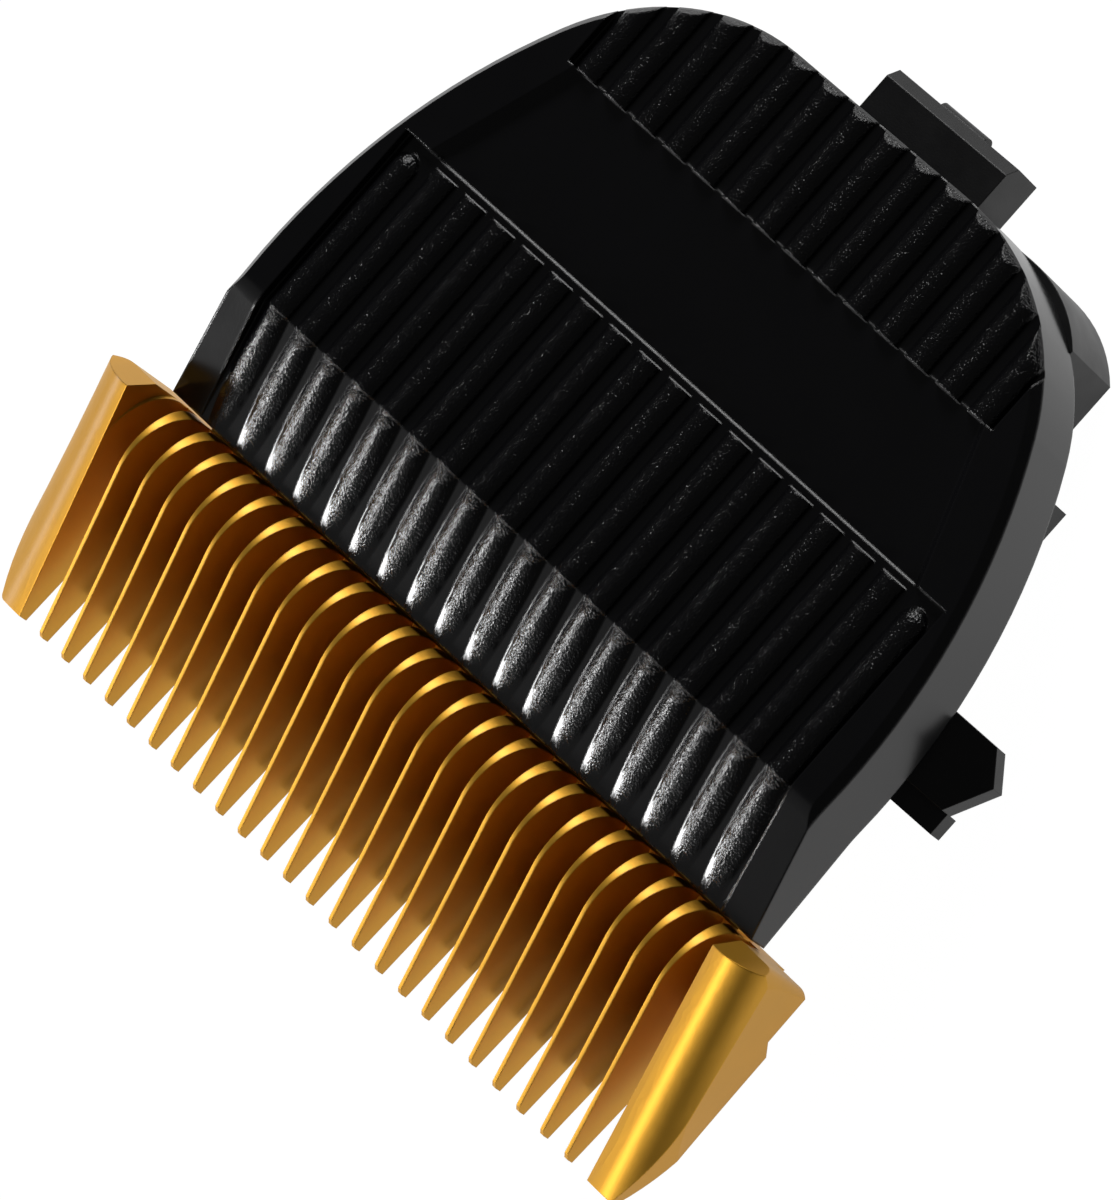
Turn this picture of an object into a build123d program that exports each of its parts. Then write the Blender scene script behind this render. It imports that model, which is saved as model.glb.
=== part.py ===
"""Clip-on cutting head of a hair clipper: ribbed cover, comb, cutter and frame, in millimetres.

The head lies with its ribs up. +X runs along the teeth, +Y from the tooth tips to the
mounting hook and +Z up. The origin is in the middle of the footprint, on the surface that
the frame stands on.
"""
import os
from math import atan, cos, pi, radians, sin, sqrt, tan

from build123d import *

os.makedirs("parts", exist_ok=True)

# Comb: a ground steel plate with thin teeth, and a broad guide at each end
TOOTH_SPACING = 1.6
TOOTH_COUNT = 24
TOOTH_LAND = 0.2           # width of a tooth's crest
TIP_HEIGHT = 0.6           # crest above the cutting plane at the tooth tips
TIP_BEVEL = 0.2            # broken edge of the tooth tips
CREST_ANGLE = 27.1         # slope of the crests, in degrees
COMB_DEPTH = 12.1          # tooth tips to the comb's rear face
NOSE_RADIUS = 2.6          # round back of each tooth
GROOVE_DEPTH = 4.3         # groove between two teeth, square to the crest
GROOVE_TAPER = 4.7         # lean of a groove's flanks, in degrees
GUIDE_WIDTH = 2.33         # guide beside the last tooth, and its narrower tip
GUIDE_TIP_WIDTH = 1.35
GUIDE_SHOULDER = 5.2       # tooth tips to where a guide's side runs straight
GUIDE_TIP_CORNER = 0.3
GUIDE_DRAFT = 0.45         # by how much its outer wall comes in downwards
FACE_LEAD = 8.0            # slope of its crowned top face at the inner edge, in degrees
FACE_TIP_FALL = 0.65       # fall of that face to its outer edge, at the tip and at the rear
FACE_REAR_FALL = 1.75
GUIDE_BEVEL_RUN = 0.8      # bevel behind a guide's ridge
GUIDE_BEVEL_DROP = 1.7
GUIDE_CORNER = 0.8
RELIEF_START = 8.9         # underside of a guide, where it lifts off the cutting plane
RELIEF_RUN = 0.6
RELIEF_RISE = 0.95
PLATE_THICKNESS = 1.8      # fastening plate behind the comb
PLATE_DEPTH = 7.9
PLATE_WIDTH = 36.0
PLATE_CORNER = 2.0
PLATE_WINDOW_WIDTH = 18.0  # open middle of the plate, where the drive block works
PLATE_WINDOW_DEPTH = 6.6

# Cutter: the flat toothed blade that slides under the comb
CUTTER_THICKNESS = 0.8
CUTTER_TEETH = 23
CUTTER_SETBACK = 2.7       # comb tips to cutter tips
CUTTER_TOOTH_LENGTH = 4.9
CUTTER_TIP_WIDTH = 0.35
CUTTER_ROOT_WIDTH = 0.9
CUTTER_BAR = 1.9           # solid bar behind the cutter's teeth
CUTTER_WAIST = 21.6        # width of the cutter's body
STROKE = 1.4               # travel each way

# Drive block: moulded block on the cutter, with the slot for the drive pin
BLOCK_WIDTH = 10.0
BLOCK_DEPTH = 7.8
BLOCK_CLEARANCE = 0.85     # block's top below the cover's ceiling
BLOCK_CORNER = 0.8
SLOT_WIDTH = 4.4
SLOT_DEPTH = 5.6
SLOT_ROOF = 0.6
PEG_RADIUS = 0.8           # pegs that hold the block in the cutter

# Cover: ribbed moulded shell
COVER_DEPTH = 29.15
COVER_FRONT_WIDTH = 39.4
COVER_WIDTH = 38.9         # across the flat top, at the head of the bevel
COVER_WALL = 1.1
COVER_ROOF = 1.2
VALLEY = 0.2               # gap between the comb and the cover
PLATE_CLEARANCE = 0.4      # cover's lower edge above the fastening plate
FRONT_LIP = 1.4            # upright face below the bevel
BEVEL_RUN = 5.9
BEVEL_BLEND = 2.5          # round at the bevel's head, on the margins beside the ribs
SIDE_BLEND = 8.0           # round where the sides turn beside the bevel's head
REAR_ROUND = 5.75          # depth of the round rear corners
HAUNCH_TAPER = 4.1         # by how much a side arc comes in, from the bevel's head to the rear corner
HAUNCH_BULGE = 1.3
RIB_SPACING = 1.97
RIB_WIDTH = 1.5
RIB_HEIGHT = 0.45
RIB_FRONT_HEIGHT = 0.06    # on the bevel, ribs fade out to this height and flatten to this radius
RIB_FRONT_RADIUS = 2.4
RIB_STEP = 0.05            # small step down at the bevel's head
FRONT_RIBS = 18
REAR_RIBS = 14
FRONT_RIB_RUN = 9.7        # ribs behind the bevel's head
OUTER_RIB_SHORT = 1.35     # by how much the outermost ribs stop short
RECESS_DEPTH = 6.9         # bare band between the two rib fields
RECESS_FRONT_WIDTH = 31.2
RECESS_REAR_WIDTH = 25.8
RECESS_SINK = 0.06         # bare band below the floor of the rib fields
RECESS_SLOPE = 41.0        # lean of the band's walls, in degrees
RIM_BEVEL = 0.4            # broken edge of the cover's top
PEG_COVER_RADIUS = 0.8     # six-sided pegs that hold the cover to the frame, to their flats
PEG_SIDES = 6

# Frame: lower moulding, with rails, deck and mounting hook
HEIGHT = 9.0               # surface that it stands on to the rib crests
SHEAR_HEIGHT = 2.6         # the same to the cutting plane
RAIL_WIDTH = 28.8          # across the rails
RAIL_WALL = 1.8
RAIL_FRONT = 10.1          # tooth tips to the rails' front ends
DECK_THICKNESS = 1.0
HEEL_WIDTH = 23.9          # narrower rear part of the frame
HEEL_DEPTH = 7.1
HEEL_CORNER = 4.3
HEEL_CORNER_DEPTH = 1.8
HEEL_SETBACK = 0.1         # behind the cover's rear edge, inwards
HOOK_WIDTH = 7.7
HOOK_REACH = 2.5
HOOK_THICKNESS = 2.75
HOOK_DROP = 0.2            # hook below the deck
HOOK_CHAMFER = 0.55
NUB_WIDTH = 2.8            # detent nub across the hook's rear face
NUB_RADIUS = 0.5
NUB_REACH = 0.25
NUB_DROP = 1.35
BOSS_RADIUS = 2.2
BOSS_SPACING = 29.2

# Fasteners, lever and springs
SCREW_RADIUS = 0.9
SCREW_HEAD_RADIUS = 1.6
SCREW_HEAD_HEIGHT = 1.0
SCREW_LENGTH = 3.6
SCREW_INSET = 2.5          # plate's rear edge to the screws
PIN_RADIUS = 0.6
PIN_HEIGHT = 3.2
PIN_SEAT = 0.9             # length of the pin held in each cheek of the rail
LEVER_WIDTH = 3.5
LEVER_PADDLE = 7.95        # pivot to the tip of the paddle
LEVER_ARM = 4.5            # pivot to the end of the inner arm
LEVER_HUB = 1.15
LEVER_THICKNESS = 1.0
LEVER_BEND = 4.4           # pivot to where the paddle slopes down
PADDLE_ANGLE = 30.0
PADDLE_POINT = 0.9         # how far the paddle's end comes to a point
PADDLE_STEP = 0.7          # step down to the ledge at the paddle's front
PADDLE_LEDGE = 1.1
LEVER_GAP = 0.2            # inner arm above the cutter
WIRE_RADIUS = 0.3
WIRE_SIDES = 6             # flats of the drawn wire
COIL_RADIUS = 1.45
COIL_TURNS = 2
COIL_SPACING = 0.7
LEG_OVERLAP = 4.2          # spring's leg under the cutter's rear end
COIL_CLEARANCE = 2.45      # coil behind the cutter's rear end
SPRING_TAIL = 2.6
TAIL_STOP_RADIUS = 0.5     # stop on the rail, above the spring's tail
SPRING_PEG_RADIUS = 1.0
SPRING_SETBACK = 4.65      # coils' axis in front of the heel
SPRING_INSET = 1.9         # coil from the rail's inner face

FIT = 0.05                 # sliding or running clearance
GAP = 0.3                  # free gap between neighbours

# Places along Y
OVERALL_DEPTH = COMB_DEPTH + VALLEY + COVER_DEPTH + HOOK_REACH + NUB_REACH
TIPS = -OVERALL_DEPTH / 2
COMB_REAR = TIPS + COMB_DEPTH
COVER_FRONT = COMB_REAR + VALLEY
BEVEL_HEAD = COVER_FRONT + BEVEL_RUN
RECESS_FRONT = BEVEL_HEAD + FRONT_RIB_RUN
RECESS_REAR = RECESS_FRONT + RECESS_DEPTH
COVER_REAR = COVER_FRONT + COVER_DEPTH
HAUNCH_RUN = COVER_DEPTH - BEVEL_RUN - REAR_ROUND
HOOK_REAR = COVER_REAR + HOOK_REACH
PLATE_REAR = COMB_REAR + PLATE_DEPTH
DECK_FRONT = PLATE_REAR + GAP
SCREW_Y = PLATE_REAR - SCREW_INSET
HEEL_REAR = COVER_REAR - HEEL_SETBACK
HEEL_FRONT = HEEL_REAR - HEEL_DEPTH
COIL_Y = HEEL_FRONT - SPRING_SETBACK
CUTTER_TIPS = TIPS + CUTTER_SETBACK
CUTTER_ROOTS = CUTTER_TIPS + CUTTER_TOOTH_LENGTH
CUTTER_BAR_REAR = CUTTER_ROOTS + CUTTER_BAR
CUTTER_REAR = COIL_Y - COIL_RADIUS - WIRE_RADIUS - COIL_CLEARANCE
SPRING_LEG = COIL_Y - CUTTER_REAR + LEG_OVERLAP
BLOCK_REAR = CUTTER_REAR + GAP
BLOCK_FRONT = BLOCK_REAR - BLOCK_DEPTH
BLOCK_Y = (BLOCK_FRONT + BLOCK_REAR) / 2
LEVER_FRONT = DECK_FRONT + PIN_SEAT + GAP
LEVER_REAR = LEVER_FRONT + LEVER_WIDTH

# Places along X
COMB_EDGE = (TOOTH_COUNT + 1) * TOOTH_SPACING / 2
GUIDE_INNER = COMB_EDGE - TOOTH_LAND / 2
GUIDE_OUTER = COMB_EDGE + GUIDE_WIDTH
RAIL_OUTER = RAIL_WIDTH / 2
RAIL_INNER = RAIL_OUTER - RAIL_WALL
PIN_X = (RAIL_OUTER + RAIL_INNER) / 2
COVER_HALF = COVER_WIDTH / 2

# Places along Z
CREST_TIP = SHEAR_HEIGHT + TIP_HEIGHT
CREST_RISE = tan(radians(CREST_ANGLE))
PLATE_TOP = SHEAR_HEIGHT + PLATE_THICKNESS
CUTTER_BOTTOM = SHEAR_HEIGHT - CUTTER_THICKNESS
SKIRT_BOTTOM = PLATE_TOP + PLATE_CLEARANCE
SKIRT_HEIGHT = HEIGHT - SKIRT_BOTTOM
DECK_TOP = SKIRT_BOTTOM + DECK_THICKNESS
LIP_TOP = SKIRT_BOTTOM + FRONT_LIP
RIB_FLOOR = HEIGHT - RIB_HEIGHT
CEILING = RIB_FLOOR - COVER_ROOF
BEVEL_RISE = (HEIGHT - LIP_TOP) / BEVEL_RUN
HOOK_TOP = SKIRT_BOTTOM - HOOK_DROP
BLOCK_HEIGHT = CEILING - BLOCK_CLEARANCE - SHEAR_HEIGHT
LEG_Z = CUTTER_BOTTOM - FIT - WIRE_RADIUS
COIL_Z = LEG_Z + COIL_RADIUS


def crest(y):
    """Height of the teeth's crest line at a place along Y."""
    return CREST_TIP + (y - TIPS) * CREST_RISE


def bevel_line(depth):
    """Side view of the cover's bevel and flat top, taken a depth below the surface."""
    bevel = atan(BEVEL_RISE)
    drop = depth / cos(bevel)
    head = BEVEL_HEAD + depth * tan(bevel / 2)
    return (COVER_FRONT, LIP_TOP - drop), (head, HEIGHT - depth)


def cover_outline(inset):
    """Plan of the cover, drawn in by an inset all round."""
    head = (COVER_HALF, BEVEL_HEAD)
    corner = (COVER_HALF - HAUNCH_TAPER, BEVEL_HEAD + HAUNCH_RUN)
    chord = sqrt(HAUNCH_TAPER**2 + HAUNCH_RUN**2)
    bulge = (
        (head[0] + corner[0]) / 2 + HAUNCH_BULGE * HAUNCH_RUN / chord,
        (head[1] + corner[1]) / 2 + HAUNCH_BULGE * HAUNCH_TAPER / chord,
    )
    with BuildSketch(mode=Mode.PRIVATE) as outline:
        with BuildLine():
            Polyline((0, COVER_FRONT), (COVER_FRONT_WIDTH / 2, COVER_FRONT), head)
            side = ThreePointArc(head, bulge, corner)
            turn = atan(HAUNCH_TAPER / HAUNCH_RUN) + 2 * atan(2 * HAUNCH_BULGE / chord)
            rear_x = corner[0] - (COVER_REAR - corner[1]) * tan((turn + pi / 2) / 2)
            rear = TangentArc(corner, (rear_x, COVER_REAR), tangent=side % 1)
            Line(rear @ 1, (0, COVER_REAR))
            mirror(about=Plane.YZ)
        make_face()
        heads = outline.vertices().filter_by(lambda vertex: abs(vertex.Y - BEVEL_HEAD) < FIT)
        fillet(heads, SIDE_BLEND)
        if inset:
            offset(amount=-inset)
    return outline.sketch


# Right end guide of the comb: its crowned top face falls outwards, more so towards the rear
with BuildPart() as guide:
    lead = radians(FACE_LEAD)
    for guide_y, fall in ((TIPS, FACE_TIP_FALL), (COMB_REAR, FACE_REAR_FALL)):
        with BuildSketch(Plane.XZ.offset(-guide_y)):
            with BuildLine():
                inner_top = (GUIDE_INNER, crest(guide_y))
                outer_top = (GUIDE_OUTER, crest(guide_y) - fall)
                TangentArc(inner_top, outer_top, tangent=(cos(lead), sin(lead)))
                Polyline(outer_top, (GUIDE_OUTER - GUIDE_DRAFT, 0), (GUIDE_INNER, 0), inner_top)
            make_face()
    loft(ruled=True)
    ridge_y = COMB_REAR - GUIDE_BEVEL_RUN
    relief_y = TIPS + RELIEF_START
    relief_z = SHEAR_HEIGHT + RELIEF_RISE
    with BuildSketch(Plane.YZ.offset(GUIDE_INNER)):
        with BuildLine():
            Polyline(
                (ridge_y - GUIDE_BEVEL_RUN, crest(ridge_y) + GUIDE_BEVEL_DROP),
                (COMB_REAR, crest(ridge_y) - GUIDE_BEVEL_DROP),
                (COMB_REAR, crest(ridge_y) + GUIDE_BEVEL_DROP),
                close=True,
            )
        make_face()
        with BuildLine():
            Polyline(
                (relief_y, 0),
                (relief_y, SHEAR_HEIGHT),
                (relief_y + RELIEF_RUN, relief_z),
                (COMB_REAR, relief_z),
                (COMB_REAR, 0),
                close=True,
            )
        make_face()
    extrude(amount=GUIDE_OUTER - GUIDE_INNER, mode=Mode.SUBTRACT)
    with BuildSketch(Plane.XY.offset(SHEAR_HEIGHT)) as guide_plan:
        with BuildLine():
            tip_corner = (COMB_EDGE + GUIDE_TIP_WIDTH, TIPS)
            shoulder = (GUIDE_OUTER, TIPS + GUIDE_SHOULDER)
            TangentArc(shoulder, tip_corner, tangent=(0, -1))
            Polyline(
                tip_corner,
                (GUIDE_INNER, TIPS),
                (GUIDE_INNER, COMB_REAR),
                (GUIDE_OUTER, COMB_REAR),
                shoulder,
            )
        make_face()
        fillet(guide_plan.vertices().group_by(Axis.Y)[0].sort_by(Axis.X)[-1], GUIDE_TIP_CORNER)
        fillet(guide_plan.vertices().group_by(Axis.Y)[-1].sort_by(Axis.X)[-1], GUIDE_CORNER)
    extrude(amount=HEIGHT, mode=Mode.INTERSECT)

# Comb: side view with sloping crests and round backs, then one groove per gap
with BuildPart() as fixed_blade:
    with BuildSketch(Plane.YZ) as comb_side:
        with BuildLine():
            Polyline(
                (TIPS, SHEAR_HEIGHT),
                (TIPS, CREST_TIP),
                (COMB_REAR, crest(COMB_REAR)),
                (COMB_REAR, SHEAR_HEIGHT),
                close=True,
            )
        make_face()
        fillet(comb_side.vertices().sort_by(Axis.Y)[-1], NOSE_RADIUS)
        chamfer(comb_side.vertices().group_by(Axis.X)[0].sort_by(Axis.Y)[-1], TIP_BEVEL)
    extrude(amount=COMB_EDGE, both=True)

    slope = radians(CREST_ANGLE)
    grinding = Plane(origin=(0, TIPS, CREST_TIP), x_dir=(1, 0, 0), z_dir=(0, cos(slope), sin(slope)))
    groove_half = (TOOTH_SPACING - TOOTH_LAND) / 2
    floor_half = groove_half - GROOVE_DEPTH * tan(radians(GROOVE_TAPER))
    groove_run = OVERALL_DEPTH / 2
    with BuildSketch(grinding.offset(-COMB_DEPTH / 2)):
        with GridLocations(TOOTH_SPACING, TOOTH_SPACING, TOOTH_COUNT + 1, 1):
            Polygon(
                (-groove_half, -TIP_HEIGHT),
                (-groove_half, 0),
                (-floor_half, GROOVE_DEPTH),
                (floor_half, GROOVE_DEPTH),
                (groove_half, 0),
                (groove_half, -TIP_HEIGHT),
                align=None,
            )
    extrude(amount=groove_run, mode=Mode.SUBTRACT)

    add(guide.part)
    add(mirror(guide.part, about=Plane.YZ, mode=Mode.PRIVATE))

    with BuildSketch(Plane.XY.offset(SHEAR_HEIGHT)) as plate_plan:
        with Locations((0, COMB_REAR - NOSE_RADIUS)):
            Rectangle(PLATE_WIDTH, PLATE_DEPTH + NOSE_RADIUS, align=(Align.CENTER, Align.MIN))
        fillet(plate_plan.vertices().group_by(Axis.Y)[-1], PLATE_CORNER)
        with Locations((0, PLATE_REAR)):
            Rectangle(
                PLATE_WINDOW_WIDTH, PLATE_WINDOW_DEPTH, align=(Align.CENTER, Align.MAX), mode=Mode.SUBTRACT
            )
        with Locations(*[(side * BOSS_SPACING / 2, SCREW_Y) for side in (-1, 1)]):
            Circle(SCREW_RADIUS + FIT, mode=Mode.SUBTRACT)
    extrude(amount=PLATE_THICKNESS)
fixed_blade.part.label = "fixed_blade"
export_step(fixed_blade.part, "parts/fixed_blade.step")

# Cutter: flat toothed blade with a narrower body that runs back under the drive block
with BuildPart() as moving_blade:
    with BuildSketch(Plane.XY.offset(CUTTER_BOTTOM)):
        bar_width = (CUTTER_TEETH - 1) * TOOTH_SPACING + CUTTER_ROOT_WIDTH
        with Locations((0, CUTTER_ROOTS)):
            Rectangle(bar_width, CUTTER_BAR, align=(Align.CENTER, Align.MIN))
        with Locations((0, CUTTER_ROOTS)):
            Rectangle(CUTTER_WAIST, CUTTER_REAR - CUTTER_ROOTS, align=(Align.CENTER, Align.MIN))
        with Locations((0, CUTTER_ROOTS)):
            with GridLocations(TOOTH_SPACING, TOOTH_SPACING, CUTTER_TEETH, 1):
                Polygon(
                    (-CUTTER_ROOT_WIDTH / 2, 0),
                    (-CUTTER_TIP_WIDTH / 2, -CUTTER_TOOTH_LENGTH),
                    (CUTTER_TIP_WIDTH / 2, -CUTTER_TOOTH_LENGTH),
                    (CUTTER_ROOT_WIDTH / 2, 0),
                    align=None,
                )
        with Locations((0, BLOCK_Y)):
            Rectangle(SLOT_WIDTH + 2 * FIT, SLOT_DEPTH + 2 * FIT, mode=Mode.SUBTRACT)
            with GridLocations((BLOCK_WIDTH + SLOT_WIDTH) / 2, SLOT_DEPTH, 2, 1):
                Circle(PEG_RADIUS + FIT, mode=Mode.SUBTRACT)
    extrude(amount=CUTTER_THICKNESS)
moving_blade.part.label = "moving_blade"
export_step(moving_blade.part, "parts/moving_blade.step")

# Drive block: stands on the cutter, with a slot from below for the drive pin
with BuildPart() as drive_block:
    with BuildSketch(Plane.XY.offset(SHEAR_HEIGHT)) as block_plan:
        with Locations((0, BLOCK_Y)):
            Rectangle(BLOCK_WIDTH, BLOCK_DEPTH)
        fillet(block_plan.vertices(), BLOCK_CORNER)
    extrude(amount=BLOCK_HEIGHT)
    with BuildSketch(Plane.XY.offset(SHEAR_HEIGHT)):
        with Locations((0, BLOCK_Y)):
            Rectangle(SLOT_WIDTH, SLOT_DEPTH)
    extrude(amount=BLOCK_HEIGHT - SLOT_ROOF, mode=Mode.SUBTRACT)
    with BuildSketch(Plane.XY.offset(CUTTER_BOTTOM)):
        with Locations((0, BLOCK_Y)):
            with GridLocations((BLOCK_WIDTH + SLOT_WIDTH) / 2, SLOT_DEPTH, 2, 1):
                Circle(PEG_RADIUS)
    extrude(amount=CUTTER_THICKNESS)
drive_block.part.label = "drive_block"
export_step(drive_block.part, "parts/drive_block.step")

# One front rib: a low round bead along the flat top, and a flattening cone down the bevel
rib_radius = (RIB_WIDTH**2 / 4 + RIB_HEIGHT**2) / (2 * RIB_HEIGHT)


def front_rib(end_y):
    """Front rib on the middle line, from the cover's front edge to a place along Y."""
    head_top = HEIGHT - RIB_STEP
    head_height = RIB_HEIGHT - RIB_STEP
    head_half = RIB_WIDTH / 2 - 2 * RIB_STEP
    head_radius = (head_half**2 + head_height**2) / (2 * head_height)
    slope = atan((head_top - LIP_TOP) / BEVEL_RUN)
    run = BEVEL_RUN / cos(slope)
    flare = atan((RIB_FRONT_RADIUS - head_radius / cos(slope)) / run)
    axis = Vector(0, cos(slope + flare), sin(slope + flare))
    inward = Vector(0, sin(slope), -cos(slope))
    start = Vector(0, COVER_FRONT, LIP_TOP) + inward * RIB_FRONT_RADIUS - axis * RIB_HEIGHT
    length = run / cos(flare) + 2 * RIB_HEIGHT
    wide = RIB_FRONT_RADIUS / cos(flare) + RIB_HEIGHT * tan(flare)
    root = COVER_ROOF / 2
    with BuildPart(mode=Mode.PRIVATE) as rib:
        with Locations(Plane(origin=start, x_dir=(1, 0, 0), z_dir=axis)):
            Cone(wide, wide - length * tan(flare), length, align=(Align.CENTER, Align.CENTER, Align.MIN))
        with BuildSketch(Plane.YZ):
            with BuildLine():
                Polyline(
                    (COVER_FRONT, LIP_TOP - RIB_FRONT_HEIGHT - root),
                    (COVER_FRONT, HEIGHT),
                    (BEVEL_HEAD + RIB_STEP, HEIGHT),
                    (BEVEL_HEAD + RIB_STEP, RIB_FLOOR - root),
                    (BEVEL_HEAD, RIB_FLOOR - root),
                    close=True,
                )
            make_face()
        extrude(amount=RIB_FRONT_RADIUS + RIB_WIDTH, both=True, mode=Mode.INTERSECT)
        with BuildSketch(Plane.XZ.offset(-BEVEL_HEAD)):
            with BuildLine():
                bead = ThreePointArc((-RIB_WIDTH / 2, RIB_FLOOR), (0, HEIGHT), (RIB_WIDTH / 2, RIB_FLOOR))
                Polyline(
                    bead @ 1,
                    (RIB_WIDTH / 2, RIB_FLOOR - root),
                    (-RIB_WIDTH / 2, RIB_FLOOR - root),
                    bead @ 0,
                )
            make_face()
        extrude(amount=-(end_y - BEVEL_HEAD))
    return rib.part


def rib_places(count):
    """X places of a field of ribs, centred."""
    return [(index - (count - 1) / 2) * RIB_SPACING for index in range(count)]


# Cover before it is hollowed: its outline with a broken rim, cut by the front bevel
with BuildPart() as cover_body:
    with BuildSketch(Plane.XY.offset(SKIRT_BOTTOM)):
        add(cover_outline(0))
    extrude(amount=SKIRT_HEIGHT)
    top_edges = cover_body.edges().group_by(Axis.Z)[-1]
    chamfer(top_edges.filter_by(lambda edge: edge.center().Y > COVER_FRONT + FIT), RIM_BEVEL)
    with BuildSketch(Plane.YZ) as body_side:
        with BuildLine():
            Polyline(
                *bevel_line(0),
                (COVER_REAR, HEIGHT),
                (COVER_REAR, SKIRT_BOTTOM),
                (COVER_FRONT, SKIRT_BOTTOM),
                close=True,
            )
        make_face()
        bevel_head = body_side.vertices().filter_by(lambda vertex: abs(vertex.X - BEVEL_HEAD) < FIT)
        fillet(bevel_head, BEVEL_BLEND)
    extrude(amount=COVER_FRONT_WIDTH, both=True, mode=Mode.INTERSECT)

# Front ribs end at the top of the band's front wall; the outermost two are shorter and end round
with BuildPart() as front_ribs:
    outer_end = RECESS_FRONT - OUTER_RIB_SHORT
    inner_rib = front_rib(RECESS_FRONT - (RIB_HEIGHT + RECESS_SINK) * tan(radians(RECESS_SLOPE)))
    outer_rib = front_rib(outer_end)
    front_places = rib_places(FRONT_RIBS)
    with Locations(*[(x, 0, 0) for x in front_places[1:-1]]):
        add(inner_rib)
    outer_places = (front_places[0], front_places[-1])
    with Locations(*[(x, 0, 0) for x in outer_places]):
        add(outer_rib)
    with Locations(*[(x, outer_end, HEIGHT - rib_radius) for x in outer_places]):
        Sphere(rib_radius)

# Rear ribs, trimmed to the cover's rounded rear
with BuildPart() as rear_ribs:
    with BuildSketch(Plane.XZ.offset(FIT - RECESS_REAR)):
        with Locations(*[(x, HEIGHT - rib_radius) for x in rib_places(REAR_RIBS)]):
            Circle(rib_radius)
    extrude(amount=-COVER_DEPTH)
    add(cover_body.part, mode=Mode.INTERSECT)

# Hollow inside the cover
with BuildPart() as cover_hollow:
    with BuildSketch(Plane.XY.offset(SKIRT_BOTTOM)):
        add(cover_outline(COVER_WALL))
    extrude(amount=SKIRT_HEIGHT)
    with BuildSketch(Plane.YZ):
        with BuildLine():
            hollow_front, hollow_head = bevel_line(RIB_HEIGHT + COVER_ROOF)
            Polyline(
                hollow_front,
                hollow_head,
                (COVER_REAR, CEILING),
                (COVER_REAR, 0),
                (COVER_FRONT, 0),
                close=True,
            )
        make_face()
    extrude(amount=COVER_FRONT_WIDTH, both=True, mode=Mode.INTERSECT)

COVER_PEGS = [
    (side * x, y)
    for side in (-1, 1)
    for x, y in (
        (RAIL_OUTER + PEG_COVER_RADIUS + GAP, COIL_Y - BOSS_RADIUS),
        (HEEL_WIDTH / 2 - BOSS_RADIUS, HEEL_FRONT + HEEL_DEPTH / 2),
    )
]

# Cover: a sunk field for each set of ribs, the bare band between them, and the hollow
with BuildPart() as cover:
    add(cover_body.part)
    with BuildSketch(Plane.YZ):
        with BuildLine():
            Polyline(
                *bevel_line(0),
                (RECESS_FRONT, HEIGHT),
                (RECESS_FRONT, RIB_FLOOR),
                (BEVEL_HEAD, RIB_FLOOR),
                (COVER_FRONT, LIP_TOP - RIB_FRONT_HEIGHT),
                close=True,
            )
        make_face()
    extrude(amount=FRONT_RIBS * RIB_SPACING / 2, both=True, mode=Mode.SUBTRACT)
    with BuildSketch(Plane.XY.offset(RIB_FLOOR)):
        with Locations((0, RECESS_REAR)):
            Rectangle(REAR_RIBS * RIB_SPACING, COVER_DEPTH, align=(Align.CENTER, Align.MIN))
    extrude(amount=RIB_HEIGHT, mode=Mode.SUBTRACT)
    with BuildSketch(Plane.XY.offset(RIB_FLOOR - RECESS_SINK)):
        Polygon(
            (-RECESS_FRONT_WIDTH / 2, RECESS_FRONT),
            (RECESS_FRONT_WIDTH / 2, RECESS_FRONT),
            (RECESS_REAR_WIDTH / 2, RECESS_REAR),
            (-RECESS_REAR_WIDTH / 2, RECESS_REAR),
            align=None,
        )
    extrude(amount=RIB_HEIGHT + RECESS_SINK, taper=-RECESS_SLOPE, mode=Mode.SUBTRACT)
    add(front_ribs.part)
    add(rear_ribs.part)
    add(cover_hollow.part, mode=Mode.SUBTRACT)
    with BuildSketch(Plane.XY.offset(DECK_TOP)):
        with Locations(*COVER_PEGS):
            RegularPolygon(2 * PEG_COVER_RADIUS, PEG_SIDES, major_radius=False)
    extrude(amount=CEILING - DECK_TOP)
    with BuildSketch(Plane.XY.offset(SKIRT_BOTTOM + FIT)):
        with Locations(*COVER_PEGS):
            RegularPolygon(PEG_COVER_RADIUS, PEG_SIDES, major_radius=False)
    extrude(amount=CEILING - SKIRT_BOTTOM - FIT)
cover.part.label = "cover"
export_step(cover.part, "parts/cover.step")

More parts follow.
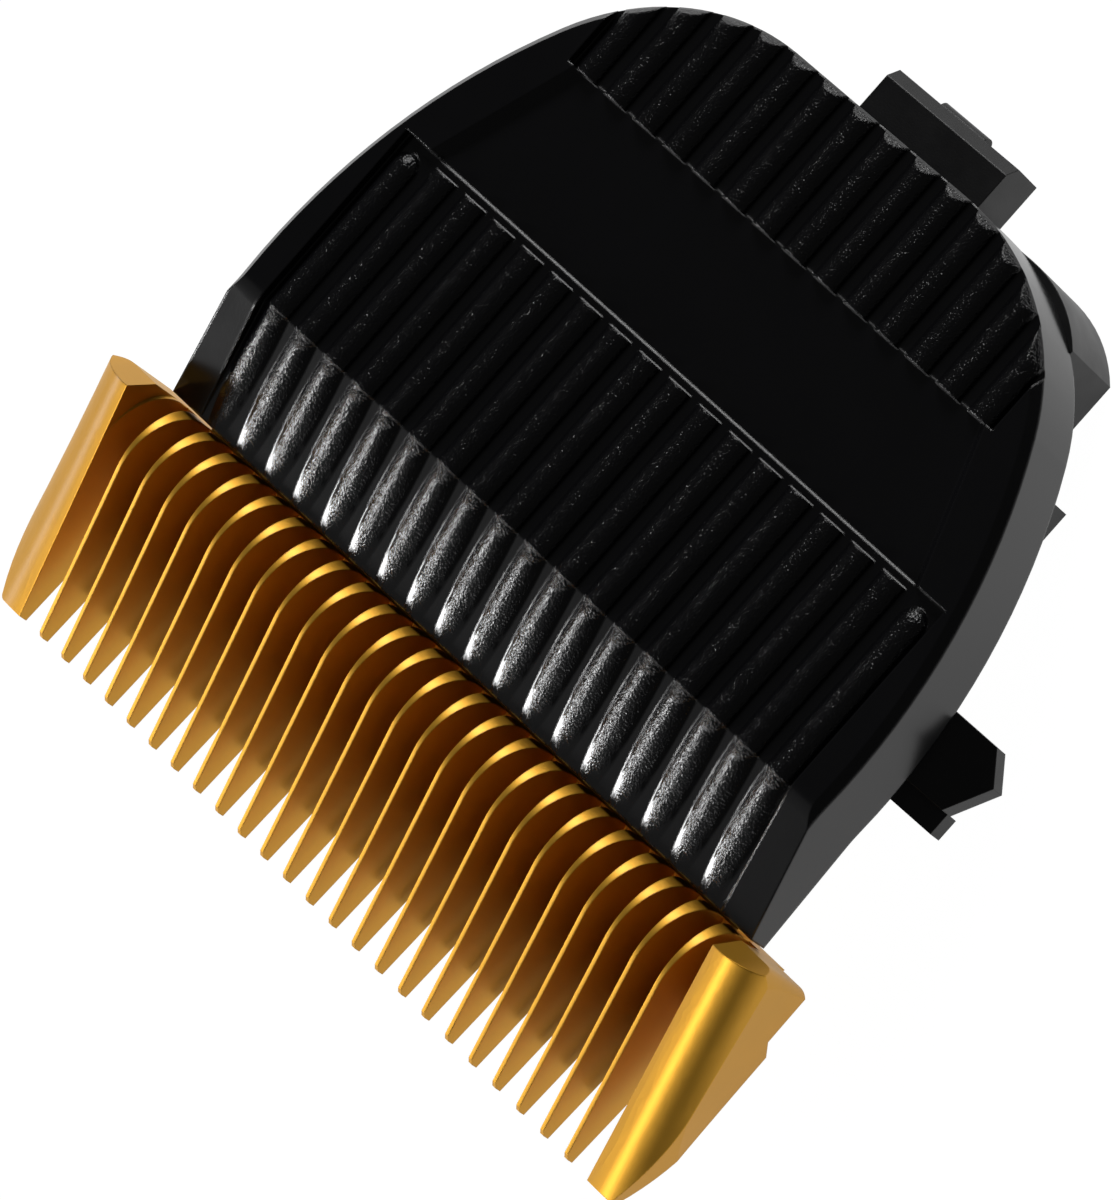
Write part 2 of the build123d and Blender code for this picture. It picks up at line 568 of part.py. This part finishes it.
# Frame: rails and heel as an upright wall, with a deck inside the cover's skirt
with BuildPart() as frame:
    with BuildSketch() as wall_plan:
        with BuildLine():
            heel = (HEEL_WIDTH / 2, HEEL_REAR - HEEL_CORNER_DEPTH)
            Polyline(
                (0, TIPS + RAIL_FRONT),
                (RAIL_OUTER, TIPS + RAIL_FRONT),
                (RAIL_OUTER, HEEL_FRONT),
                (HEEL_WIDTH / 2, HEEL_FRONT),
                heel,
            )
            corner_end = (HEEL_WIDTH / 2 - HEEL_CORNER, HEEL_REAR)
            TangentArc(corner_end, heel, tangent=(1, 0))
            Line(corner_end, (0, HEEL_REAR))
            mirror(about=Plane.YZ)
        make_face()
        offset(amount=-RAIL_WALL, mode=Mode.SUBTRACT)
        with Locations((0, TIPS + RAIL_FRONT)):
            Rectangle(2 * RAIL_INNER, 2 * RAIL_WALL, mode=Mode.SUBTRACT)
    extrude(amount=SKIRT_BOTTOM)
    with BuildSketch():
        with Locations(*[(side * BOSS_SPACING / 2, SCREW_Y) for side in (-1, 1)]):
            Circle(BOSS_RADIUS)
    extrude(amount=SHEAR_HEIGHT)
    with BuildSketch(Plane.XY.offset(SHEAR_HEIGHT)):
        with Locations((0, DECK_FRONT)):
            Rectangle(RAIL_WIDTH + BOSS_SPACING, COVER_DEPTH, align=(Align.CENTER, Align.MAX))
    extrude(amount=SKIRT_HEIGHT, mode=Mode.SUBTRACT)
    with BuildSketch(Plane.XY.offset(SHEAR_HEIGHT)):
        with Locations(*[(side * BOSS_SPACING / 2, SCREW_Y) for side in (-1, 1)]):
            Circle(SCREW_RADIUS)
    extrude(amount=-(SCREW_LENGTH - PLATE_THICKNESS), mode=Mode.SUBTRACT)

    with BuildSketch(Plane.XY.offset(SKIRT_BOTTOM)):
        add(cover_outline(COVER_WALL + FIT))
        with Locations((0, DECK_FRONT)):
            Rectangle(COVER_FRONT_WIDTH, COVER_DEPTH, align=(Align.CENTER, Align.MAX), mode=Mode.SUBTRACT)
        with Locations((0, BLOCK_REAR + 2 * GAP)):
            block_room = BLOCK_WIDTH + 2 * STROKE + 4 * GAP
            Rectangle(block_room, COVER_DEPTH, align=(Align.CENTER, Align.MAX), mode=Mode.SUBTRACT)
        with Locations(*COVER_PEGS):
            RegularPolygon(PEG_COVER_RADIUS + FIT, PEG_SIDES, major_radius=False, mode=Mode.SUBTRACT)
    extrude(amount=DECK_THICKNESS)

    with BuildSketch(Plane.XY.offset(HOOK_TOP - HOOK_THICKNESS)):
        with Locations((0, HEEL_REAR - RAIL_WALL)):
            Rectangle(
                HOOK_WIDTH, HOOK_REAR - HEEL_REAR + RAIL_WALL, align=(Align.CENTER, Align.MIN)
            )
    extrude(amount=HOOK_THICKNESS)
    hook_edge = frame.edges().filter_by(Axis.X).group_by(Axis.Y)[-1].sort_by(Axis.Z)[-1]
    chamfer(hook_edge, HOOK_CHAMFER)
    with BuildSketch(Plane.YZ):
        with Locations((HOOK_REAR + NUB_REACH - NUB_RADIUS, HOOK_TOP - NUB_DROP)):
            Circle(NUB_RADIUS)
    extrude(amount=NUB_WIDTH / 2, both=True)

    for side in (-1, 1):
        with BuildSketch(Plane.YZ.offset(side * RAIL_INNER)):
            with Locations((COIL_Y, COIL_Z)):
                Circle(SPRING_PEG_RADIUS)
        extrude(amount=-side * (COIL_TURNS * COIL_SPACING + 2 * WIRE_RADIUS + SPRING_INSET + GAP))
        with BuildSketch(Plane.YZ.offset(side * RAIL_INNER)):
            with Locations((COIL_Y + SPRING_TAIL, LEG_Z + WIRE_RADIUS + FIT + TAIL_STOP_RADIUS)):
                Circle(TAIL_STOP_RADIUS)
        extrude(amount=-side * (SPRING_INSET + 2 * WIRE_RADIUS + GAP))

    lever_slot_front = LEVER_FRONT - GAP
    lever_slot_depth = LEVER_REAR + GAP - lever_slot_front
    with BuildSketch(Plane.XY.offset(SKIRT_BOTTOM)):
        with Locations((PIN_X, lever_slot_front)):
            Rectangle(RAIL_WALL, lever_slot_depth, align=(Align.CENTER, Align.MIN))
    extrude(amount=-(SKIRT_BOTTOM - PIN_HEIGHT + LEVER_HUB + GAP), mode=Mode.SUBTRACT)
    with BuildSketch(Plane.XZ.offset(-DECK_FRONT)):
        with Locations((PIN_X, PIN_HEIGHT)):
            Circle(PIN_RADIUS)
    extrude(amount=-(lever_slot_depth + 2 * PIN_SEAT), mode=Mode.SUBTRACT)
frame.part.label = "frame"
export_step(frame.part, "parts/frame.step")

# Lever: an inner arm over the cutter, a hub on its pin and a sloping paddle outside
with BuildPart() as cleaning_lever:
    bend_x = PIN_X + LEVER_BEND
    paddle_x = PIN_X + LEVER_PADDLE
    arm_x = PIN_X - LEVER_ARM
    arm_z = SHEAR_HEIGHT + LEVER_GAP
    hub_top = PIN_HEIGHT + LEVER_HUB
    bend_z = hub_top - LEVER_GAP
    tip_z = bend_z - (LEVER_PADDLE - LEVER_BEND) * tan(radians(PADDLE_ANGLE))
    with BuildSketch(Plane.XZ.offset(-LEVER_REAR)):
        with BuildLine():
            Polyline(
                (arm_x, arm_z),
                (arm_x, arm_z + LEVER_THICKNESS),
                (PIN_X, hub_top),
                (bend_x, bend_z),
                (paddle_x, tip_z),
                (paddle_x, tip_z - LEVER_THICKNESS),
                (bend_x, bend_z - LEVER_THICKNESS),
                (PIN_X, arm_z),
                close=True,
            )
        make_face()
        with Locations((PIN_X, PIN_HEIGHT)):
            Circle(LEVER_HUB)
    extrude(amount=LEVER_WIDTH)
    with BuildSketch(Plane.XZ.offset(-LEVER_FRONT)):
        with BuildLine():
            Polyline(
                (RAIL_OUTER + GAP, bend_z - PADDLE_STEP),
                (bend_x, bend_z - PADDLE_STEP),
                (paddle_x, tip_z - PADDLE_STEP),
                (paddle_x, tip_z - LEVER_THICKNESS - PADDLE_STEP),
                (bend_x, bend_z - LEVER_THICKNESS - PADDLE_STEP),
                (RAIL_OUTER + GAP, bend_z - LEVER_THICKNESS - PADDLE_STEP),
                close=True,
            )
        make_face()
    extrude(amount=PADDLE_LEDGE)
    with BuildSketch() as lever_plan:
        with BuildLine():
            Polyline(
                (arm_x, LEVER_FRONT - PADDLE_LEDGE),
                (paddle_x - PADDLE_POINT, LEVER_FRONT - PADDLE_LEDGE),
                (paddle_x - PADDLE_POINT, LEVER_FRONT),
                (paddle_x, LEVER_FRONT + LEVER_WIDTH * 0.6),
                (paddle_x - PADDLE_POINT, LEVER_REAR),
                (arm_x, LEVER_REAR),
                close=True,
            )
        make_face()
    extrude(amount=HEIGHT, mode=Mode.INTERSECT)
    with BuildSketch(Plane.XZ.offset(-LEVER_REAR)):
        with Locations((PIN_X, PIN_HEIGHT)):
            Circle(PIN_RADIUS + FIT)
    extrude(amount=LEVER_WIDTH, mode=Mode.SUBTRACT)
cleaning_lever.part.label = "cleaning_lever"
export_step(cleaning_lever.part, "parts/cleaning_lever.step")

with BuildPart() as lever_pin:
    with BuildSketch(Plane.XZ.offset(-DECK_FRONT)):
        with Locations((PIN_X, PIN_HEIGHT)):
            Circle(PIN_RADIUS)
    extrude(amount=-(lever_slot_depth + 2 * PIN_SEAT))
lever_pin.part.label = "lever_pin"
export_step(lever_pin.part, "parts/lever_pin.step")

# Right spring: a coil on the frame's peg, a leg under the cutter and a tail under its stop
coil_length = COIL_TURNS * COIL_SPACING
with BuildPart() as spring_right:
    with BuildLine() as wire:
        coil = Helix(
            pitch=COIL_SPACING,
            height=coil_length,
            radius=COIL_RADIUS,
            center=(RAIL_INNER - SPRING_INSET - WIRE_RADIUS, COIL_Y, COIL_Z),
            direction=(-1, 0, 0),
        )
        Line(coil @ 0 - SPRING_TAIL * (coil % 0), coil @ 0)
        Line(coil @ 1, coil @ 1 + SPRING_LEG * (coil % 1))
    with BuildSketch(Plane(origin=wire.line @ 0, z_dir=wire.line % 0)):
        RegularPolygon(WIRE_RADIUS, WIRE_SIDES)
    sweep(path=wire.line)
spring_right.part.label = "spring_right"
export_step(spring_right.part, "parts/spring_right.step")

with BuildPart() as spring_left:
    mirror(spring_right.part, about=Plane.YZ)
spring_left.part.label = "spring_left"
export_step(spring_left.part, "parts/spring_left.step")

# Screws: pan heads on the plate, shanks in the frame's bosses
with BuildPart() as blade_screws:
    screw_places = [(side * BOSS_SPACING / 2, SCREW_Y) for side in (-1, 1)]
    with BuildSketch(Plane.XY.offset(PLATE_TOP - SCREW_LENGTH)):
        with Locations(*screw_places):
            Circle(SCREW_RADIUS)
    extrude(amount=SCREW_LENGTH)
    with BuildSketch(Plane.XY.offset(PLATE_TOP)):
        with Locations(*screw_places):
            Circle(SCREW_HEAD_RADIUS)
    extrude(amount=SCREW_HEAD_HEIGHT)
blade_screws.part.label = "blade_screws"
export_step(blade_screws.part, "parts/blade_screws.step")
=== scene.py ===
"""Studio scene of a clip-on cutting head: finishes for its solids, light, floor and camera."""

import bpy
from mathutils import Matrix, Vector

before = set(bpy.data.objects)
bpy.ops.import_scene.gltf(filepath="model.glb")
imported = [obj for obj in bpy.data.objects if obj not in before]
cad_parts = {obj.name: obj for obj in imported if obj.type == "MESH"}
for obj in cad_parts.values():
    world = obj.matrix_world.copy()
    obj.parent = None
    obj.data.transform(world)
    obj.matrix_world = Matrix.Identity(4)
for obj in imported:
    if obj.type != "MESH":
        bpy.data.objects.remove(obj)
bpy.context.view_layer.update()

bl_info = {
    "name": "Cutting Head Studio",
    "version": (1, 0, 0),
    "blender": (4, 5, 0),
    "location": "View3D > Sidebar > Cutting Head",
    "description": "Finishes and studio for the clip-on cutting head of a hair clipper",
    "category": "Object",
}

MM = 0.001

# Places on the head, in millimetres, where a finish changes
FIELD_FADE = 0.4
FRONT_FIELD_HALF = 17.5
FRONT_FIELD_END = 5.6
REAR_FIELD_HALF = 13.6
REAR_FIELD_START = 12.4
RIB_FOOT = 8.6
BEVEL_HEAD = -4.3
BEVEL_FALL = 0.4086
BEVEL_GROUND = 10.16
GUIDE_INNER = 19.9
GUIDE_OUTER = 22.3
GUIDE_CROWN = 2.0

# Lamps: place and size in metres, share of the key light's power
LAMPS = {
    "key": ((-0.785, -0.688, 0.348), (0.145, 0.145), 1.0),
    "front": ((-0.27, -0.42, 0.30), (0.50, 0.50), 0.027),
    "low": ((-0.15, -0.50, 0.10), (0.50, 0.15), 0.18),
    "rear": ((-0.246, 0.364, 0.238), (0.20, 0.20), 0.35),
}

# Camera, fitted to the photograph
CAMERA_PLACE = (0.14937, 0.00976, 0.2662)
CAMERA_RIGHT = (0.6364, 0.6606, -0.3982)
CAMERA_FORWARD = (-0.4925, -0.0492, -0.8689)


class Signal:
    """A node's output, with arithmetic that adds Math nodes to its material."""

    def __init__(self, finish, socket):
        self.finish = finish
        self.socket = socket

    def math(self, operation, *values):
        inputs = dict(enumerate(values))
        return self.finish.node("ShaderNodeMath", {"operation": operation}, inputs)

    def __add__(self, other):
        return self.math("ADD", self, other)

    def __sub__(self, other):
        return self.math("SUBTRACT", self, other)

    def __rsub__(self, other):
        return self.math("SUBTRACT", other, self)

    def __mul__(self, other):
        return self.math("MULTIPLY", self, other)

    def __abs__(self):
        return self.math("ABSOLUTE", self)

    __radd__ = __add__
    __rmul__ = __mul__

    def most(self, other):
        return self.math("MAXIMUM", self, other)

    def clamp(self):
        return self.math("MAXIMUM", self.math("MINIMUM", self, 1.0), 0.0)

    def ramp(self, start, end, low=0.0, high=1.0):
        """A smooth step from low to high between two values of this signal."""
        settings = {"interpolation_type": "SMOOTHSTEP", "clamp": True}
        inputs = {"Value": self, "From Min": start, "From Max": end, "To Min": low, "To Max": high}
        return self.finish.node("ShaderNodeMapRange", settings, inputs)


class Finish:
    """A material round one Principled BSDF."""

    def __init__(self, name, **constants):
        self.material = bpy.data.materials.new(name)
        self.material.use_nodes = True
        self.tree = self.material.node_tree
        self.shader = self.tree.nodes["Principled BSDF"]
        self.place = self.node("ShaderNodeTexCoord", output="Object")
        self.surface(constants)

    def node(self, kind, settings=None, inputs=None, output=0):
        """Adds a node: its settings come first, then the values or links of its sockets."""
        made = self.tree.nodes.new(kind)
        for key, value in (settings or {}).items():
            setattr(made, key, value)
        self.feed(made, inputs or {})
        return Signal(self, made.outputs[output])

    def feed(self, node, inputs):
        for key, value in inputs.items():
            if isinstance(value, Signal):
                self.tree.links.new(value.socket, node.inputs[key])
            else:
                node.inputs[key].default_value = value

    def surface(self, inputs):
        self.feed(self.shader, {key.replace("_", " "): value for key, value in inputs.items()})

    def axes(self):
        split = self.node("ShaderNodeSeparateXYZ", inputs={"Vector": self.place})
        sockets = split.socket.node.outputs
        return [Signal(self, sockets[axis]) for axis in "XYZ"]

    def noise(self, size, detail=2.0, stretch=(1, 1, 1)):
        """Noise with features of a size in metres, stretched along the axes."""
        vector = self.place
        if stretch != (1, 1, 1):
            scale = [1 / length for length in stretch]
            vector = self.node("ShaderNodeMapping", inputs={"Vector": self.place, "Scale": scale})
        inputs = {"Vector": vector, "Scale": 1 / size, "Detail": detail, "Roughness": 0.6}
        return self.node("ShaderNodeTexNoise", inputs=inputs)

    def relief(self, height, depth, edge):
        """A bump of a depth in metres, on a normal that is rounded over sharp edges."""
        rounded = self.node("ShaderNodeBevel", {"samples": 6}, {"Radius": edge})
        inputs = {"Height": height, "Distance": depth, "Strength": 1.0, "Normal": rounded}
        self.surface({"Normal": self.node("ShaderNodeBump", inputs=inputs)})

    def blend(self, factor, first, second):
        settings = {"data_type": "RGBA"}
        inputs = {0: factor, 6: first, 7: second}
        return self.node("ShaderNodeMix", settings, inputs, output=2)


class HeadFinishes(bpy.types.PropertyGroup):
    gold: bpy.props.FloatVectorProperty(
        name="Gold",
        description="Colour of the coated comb",
        subtype="COLOR",
        default=(0.78, 0.41, 0.045),
    )
    plastic: bpy.props.FloatVectorProperty(
        name="Plastic",
        description="Colour of the moulded parts",
        subtype="COLOR",
        default=(0.0030, 0.0030, 0.0036),
    )
    steel: bpy.props.FloatVectorProperty(
        name="Steel",
        description="Colour of cutter, springs and pins",
        subtype="COLOR",
        default=(0.56, 0.56, 0.57),
    )
    grain: bpy.props.FloatProperty(
        name="Grain", description="Size of the grain on the ribs", unit="LENGTH", default=0.11 * MM
    )


class HeadStage(bpy.types.PropertyGroup):
    lens: bpy.props.FloatProperty(
        name="Lens", description="Focal length of the camera, in millimetres", default=210.03
    )
    key_power: bpy.props.FloatProperty(
        name="Key light",
        description="Power of the key light, of which the other lamps take a share",
        unit="POWER",
        default=3.7,
    )
    background: bpy.props.FloatVectorProperty(
        name="Background", description="Colour behind the head", subtype="COLOR", default=(1.0, 1.0, 1.0)
    )


def rgba(colour, share=1.0):
    return (*[channel * share for channel in colour], 1.0)


def dress(finish, *nodes):
    """Gives CAD nodes a finish."""
    for name in nodes:
        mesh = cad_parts[name].data
        mesh.materials.clear()
        mesh.materials.append(finish.material)


def ribbed_plastic(colour, grain):
    """Black moulding: sparkling grain on the two rib fields, smooth elsewhere."""
    finish = Finish("ribbed_black_moulding", Specular_IOR_Level=0.5)
    x, y, z = finish.axes()
    fade = FIELD_FADE * MM
    front_half = FRONT_FIELD_HALF * MM
    front_end = FRONT_FIELD_END * MM
    rear_half = REAR_FIELD_HALF * MM
    rear_start = REAR_FIELD_START * MM
    front = (1 - abs(x).ramp(front_half, front_half + fade)) * (1 - y.ramp(front_end, front_end + fade))
    rear = (1 - abs(x).ramp(rear_half, rear_half + fade)) * y.ramp(rear_start, rear_start + fade)
    ribs = front.most(rear) * z.ramp(5.9 * MM, 6.1 * MM)
    proud = z.ramp(RIB_FOOT * MM, (RIB_FOOT + 0.15) * MM)
    over_ground = (z - y * BEVEL_FALL).ramp(BEVEL_GROUND * MM, (BEVEL_GROUND + 0.1) * MM)
    bevel = (1 - y.ramp(BEVEL_HEAD * MM, BEVEL_HEAD * MM + fade)) * over_ground
    depth = ribs * (proud * 1.4 + bevel * 0.8) + 0.02
    fine = finish.noise(grain, detail=1.5)
    soft = finish.noise(4 * MM, detail=3)
    finish.relief(fine * depth, 0.04 * MM, edge=0.16 * MM)
    finish.surface({
        "Base Color": finish.blend(soft, rgba(colour, 0.8), rgba(colour, 1.2)),
        "Roughness": 0.15 + soft * 0.05,
    })
    return finish


def smooth_plastic(name, colour, grain):
    """Black moulding with a faint even grain."""
    finish = Finish(name, Specular_IOR_Level=0.5)
    fine = finish.noise(grain, detail=1.5)
    soft = finish.noise(3 * MM, detail=3)
    finish.relief(fine, 0.004 * MM, edge=0.08 * MM)
    finish.surface({
        "Base Color": finish.blend(soft, rgba(colour, 0.8), rgba(colour, 1.25)),
        "Roughness": soft.ramp(0.2, 0.8, 0.34, 0.44),
    })
    return finish


def satin_gold(colour):
    """Gold coating on ground steel, with fine marks along the teeth."""
    finish = Finish("satin_gold_coating", Metallic=1.0, Coat_Weight=0.2, Coat_Roughness=0.3)
    marks = finish.noise(0.05 * MM, detail=2, stretch=(1, 30, 30))
    cloud = finish.noise(2.5 * MM, detail=3)
    x = finish.axes()[0]
    right = ((x - GUIDE_INNER * MM) * (1 / (GUIDE_CROWN * MM))).clamp()
    left = ((x + GUIDE_OUTER * MM) * (1 / ((GUIDE_OUTER - GUIDE_INNER) * MM))).clamp()
    crown = right * (1 - right * 0.5) + left * (0.12 + left * 0.33)
    finish.relief(marks * (0.001 * MM) + crown * (GUIDE_CROWN * MM), 1.0, edge=0.1 * MM)
    finish.surface({
        "Base Color": finish.blend(cloud, rgba(colour, 0.94), rgba(colour, 1.06)),
        "Roughness": 0.47 + marks * 0.04 + cloud * 0.04,
    })
    return finish


def ground_steel(name, colour, stretch):
    """Bright steel with drawn or ground marks."""
    finish = Finish(name, Metallic=1.0)
    marks = finish.noise(0.05 * MM, detail=2, stretch=stretch)
    finish.relief(marks, 0.001 * MM, edge=0.05 * MM)
    finish.surface({
        "Base Color": finish.blend(marks, rgba(colour, 0.85), rgba(colour, 1.1)),
        "Roughness": 0.24 + marks * 0.14,
    })
    return finish


class HEAD_OT_cover(bpy.types.Operator):
    """Finish the ribbed cover"""

    bl_idname = "head.cover"
    bl_label = "Cover"

    def execute(self, context):
        tones = context.scene.head_finishes
        dress(ribbed_plastic(tones.plastic, tones.grain), "cover")
        return {"FINISHED"}


class HEAD_OT_comb(bpy.types.Operator):
    """Finish the gold comb with its end guides"""

    bl_idname = "head.comb"
    bl_label = "Comb"

    def execute(self, context):
        dress(satin_gold(context.scene.head_finishes.gold), "fixed_blade")
        return {"FINISHED"}


class HEAD_OT_mouldings(bpy.types.Operator):
    """Finish the frame, the lever and the drive block"""

    bl_idname = "head.mouldings"
    bl_label = "Frame, lever and block"

    def execute(self, context):
        tones = context.scene.head_finishes
        dress(smooth_plastic("frame_black_moulding", tones.plastic, tones.grain), "frame")
        dress(smooth_plastic("lever_black_moulding", tones.plastic, tones.grain), "cleaning_lever")
        dress(smooth_plastic("block_black_moulding", tones.plastic, tones.grain), "drive_block")
        return {"FINISHED"}


class HEAD_OT_cutter(bpy.types.Operator):
    """Finish the sliding cutter, the springs and the fasteners"""

    bl_idname = "head.cutter"
    bl_label = "Cutter, springs and fasteners"

    def execute(self, context):
        steel = context.scene.head_finishes.steel
        dress(ground_steel("ground_cutter_steel", steel, (30, 1, 30)), "moving_blade")
        dress(ground_steel("drawn_wire", steel, (1, 20, 1)), "spring_left", "spring_right", "lever_pin")
        dress(ground_steel("turned_screw_steel", steel, (6, 6, 1)), "blade_screws")
        return {"FINISHED"}


class HEAD_OT_stage(bpy.types.Operator):
    """Set up floor, light, background and camera"""

    bl_idname = "head.stage"
    bl_label = "Stage"

    def execute(self, context):
        stage = context.scene.head_stage
        self.floor(stage)
        self.world(context, stage)
        for name, (place, size, share) in LAMPS.items():
            self.lamp(name, place, size, stage.key_power * share)
        self.camera(context, stage)
        context.scene.view_settings.view_transform = "Standard"
        return {"FINISHED"}

    def floor(self, stage):
        bpy.ops.object.select_all(action="DESELECT")
        bpy.ops.mesh.primitive_plane_add(size=3.0, location=(0, 0, 0))
        plane = bpy.context.object
        plane.name = "floor"
        finish = Finish("pale_floor", Roughness=0.9, Base_Color=rgba((0.85, 0.85, 0.85)))
        seen = self.seen(finish)
        glow = finish.node("ShaderNodeEmission", inputs={"Color": rgba(stage.background), "Strength": 1.06})
        lit = Signal(finish, finish.shader.outputs[0])
        mixed = finish.node("ShaderNodeMixShader", inputs={0: seen * 0.94, 1: lit, 2: glow})
        finish.feed(finish.tree.nodes["Material Output"], {"Surface": mixed})
        plane.data.materials.append(finish.material)

    def seen(self, finish):
        """1 for what the camera and reflections see, 0 for light on the head."""
        path = finish.node("ShaderNodeLightPath")
        rays = path.socket.node.outputs
        camera, glossy, through = (
            Signal(finish, rays[name]) for name in ("Is Camera Ray", "Is Glossy Ray", "Is Transmission Ray")
        )
        return camera.most(glossy * 0.6).most(through)

    def world(self, context, stage):
        world = bpy.data.worlds.new("studio")
        world.use_nodes = True
        context.scene.world = world
        tree = world.node_tree
        path = tree.nodes.new("ShaderNodeLightPath")
        seen = tree.nodes.new("ShaderNodeBackground")
        seen.inputs["Color"].default_value = rgba(stage.background)
        dim = tree.nodes["Background"]
        dim.inputs["Color"].default_value = rgba(stage.background, 0.05)
        mix = tree.nodes.new("ShaderNodeMixShader")
        tree.links.new(path.outputs["Is Camera Ray"], mix.inputs[0])
        tree.links.new(dim.outputs[0], mix.inputs[1])
        tree.links.new(seen.outputs[0], mix.inputs[2])
        tree.links.new(mix.outputs[0], tree.nodes["World Output"].inputs["Surface"])

    def lamp(self, name, place, size, power):
        data = bpy.data.lights.new(name, "AREA")
        data.shape = "RECTANGLE"
        data.size, data.size_y = size
        data.energy = power
        lamp = bpy.data.objects.new(name, data)
        bpy.context.scene.collection.objects.link(lamp)
        lamp.location = place
        lamp.rotation_euler = Vector(place).to_track_quat("Z", "Y").to_euler()

    def camera(self, context, stage):
        data = bpy.data.cameras.new("photo_camera")
        data.sensor_fit = "VERTICAL"
        data.sensor_height = 36.0
        data.lens = stage.lens
        data.clip_start = 0.01
        data.clip_end = 10.0
        camera = bpy.data.objects.new("photo_camera", data)
        context.scene.collection.objects.link(camera)
        right = Vector(CAMERA_RIGHT).normalized()
        forward = Vector(CAMERA_FORWARD).normalized()
        up = right.cross(forward).normalized()
        turn = Matrix((right, up, -forward)).transposed()
        camera.matrix_world = Matrix.Translation(CAMERA_PLACE) @ turn.to_4x4()
        context.scene.camera = camera


PIECES = (HEAD_OT_cover, HEAD_OT_comb, HEAD_OT_mouldings, HEAD_OT_cutter, HEAD_OT_stage)


class HEAD_PT_studio(bpy.types.Panel):
    """Pieces of the cutting head"""

    bl_label = "Cutting Head"
    bl_idname = "HEAD_PT_studio"
    bl_space_type = "VIEW_3D"
    bl_region_type = "UI"
    bl_category = "Cutting Head"

    def draw(self, context):
        for group in (context.scene.head_finishes, context.scene.head_stage):
            for key in group.bl_rna.properties.keys():
                if key not in ("rna_type", "name"):
                    self.layout.prop(group, key)
        for piece in PIECES:
            self.layout.operator(piece.bl_idname)


CLASSES = (HeadFinishes, HeadStage, *PIECES, HEAD_PT_studio)


def register():
    for item in CLASSES:
        bpy.utils.register_class(item)
    bpy.types.Scene.head_finishes = bpy.props.PointerProperty(type=HeadFinishes)
    bpy.types.Scene.head_stage = bpy.props.PointerProperty(type=HeadStage)


def unregister():
    del bpy.types.Scene.head_stage
    del bpy.types.Scene.head_finishes
    for item in reversed(CLASSES):
        bpy.utils.unregister_class(item)


def main():
    register()
    bpy.ops.head.cover()
    bpy.ops.head.comb()
    bpy.ops.head.mouldings()
    bpy.ops.head.cutter()
    bpy.ops.head.stage()


if __name__ == "__main__":
    main()
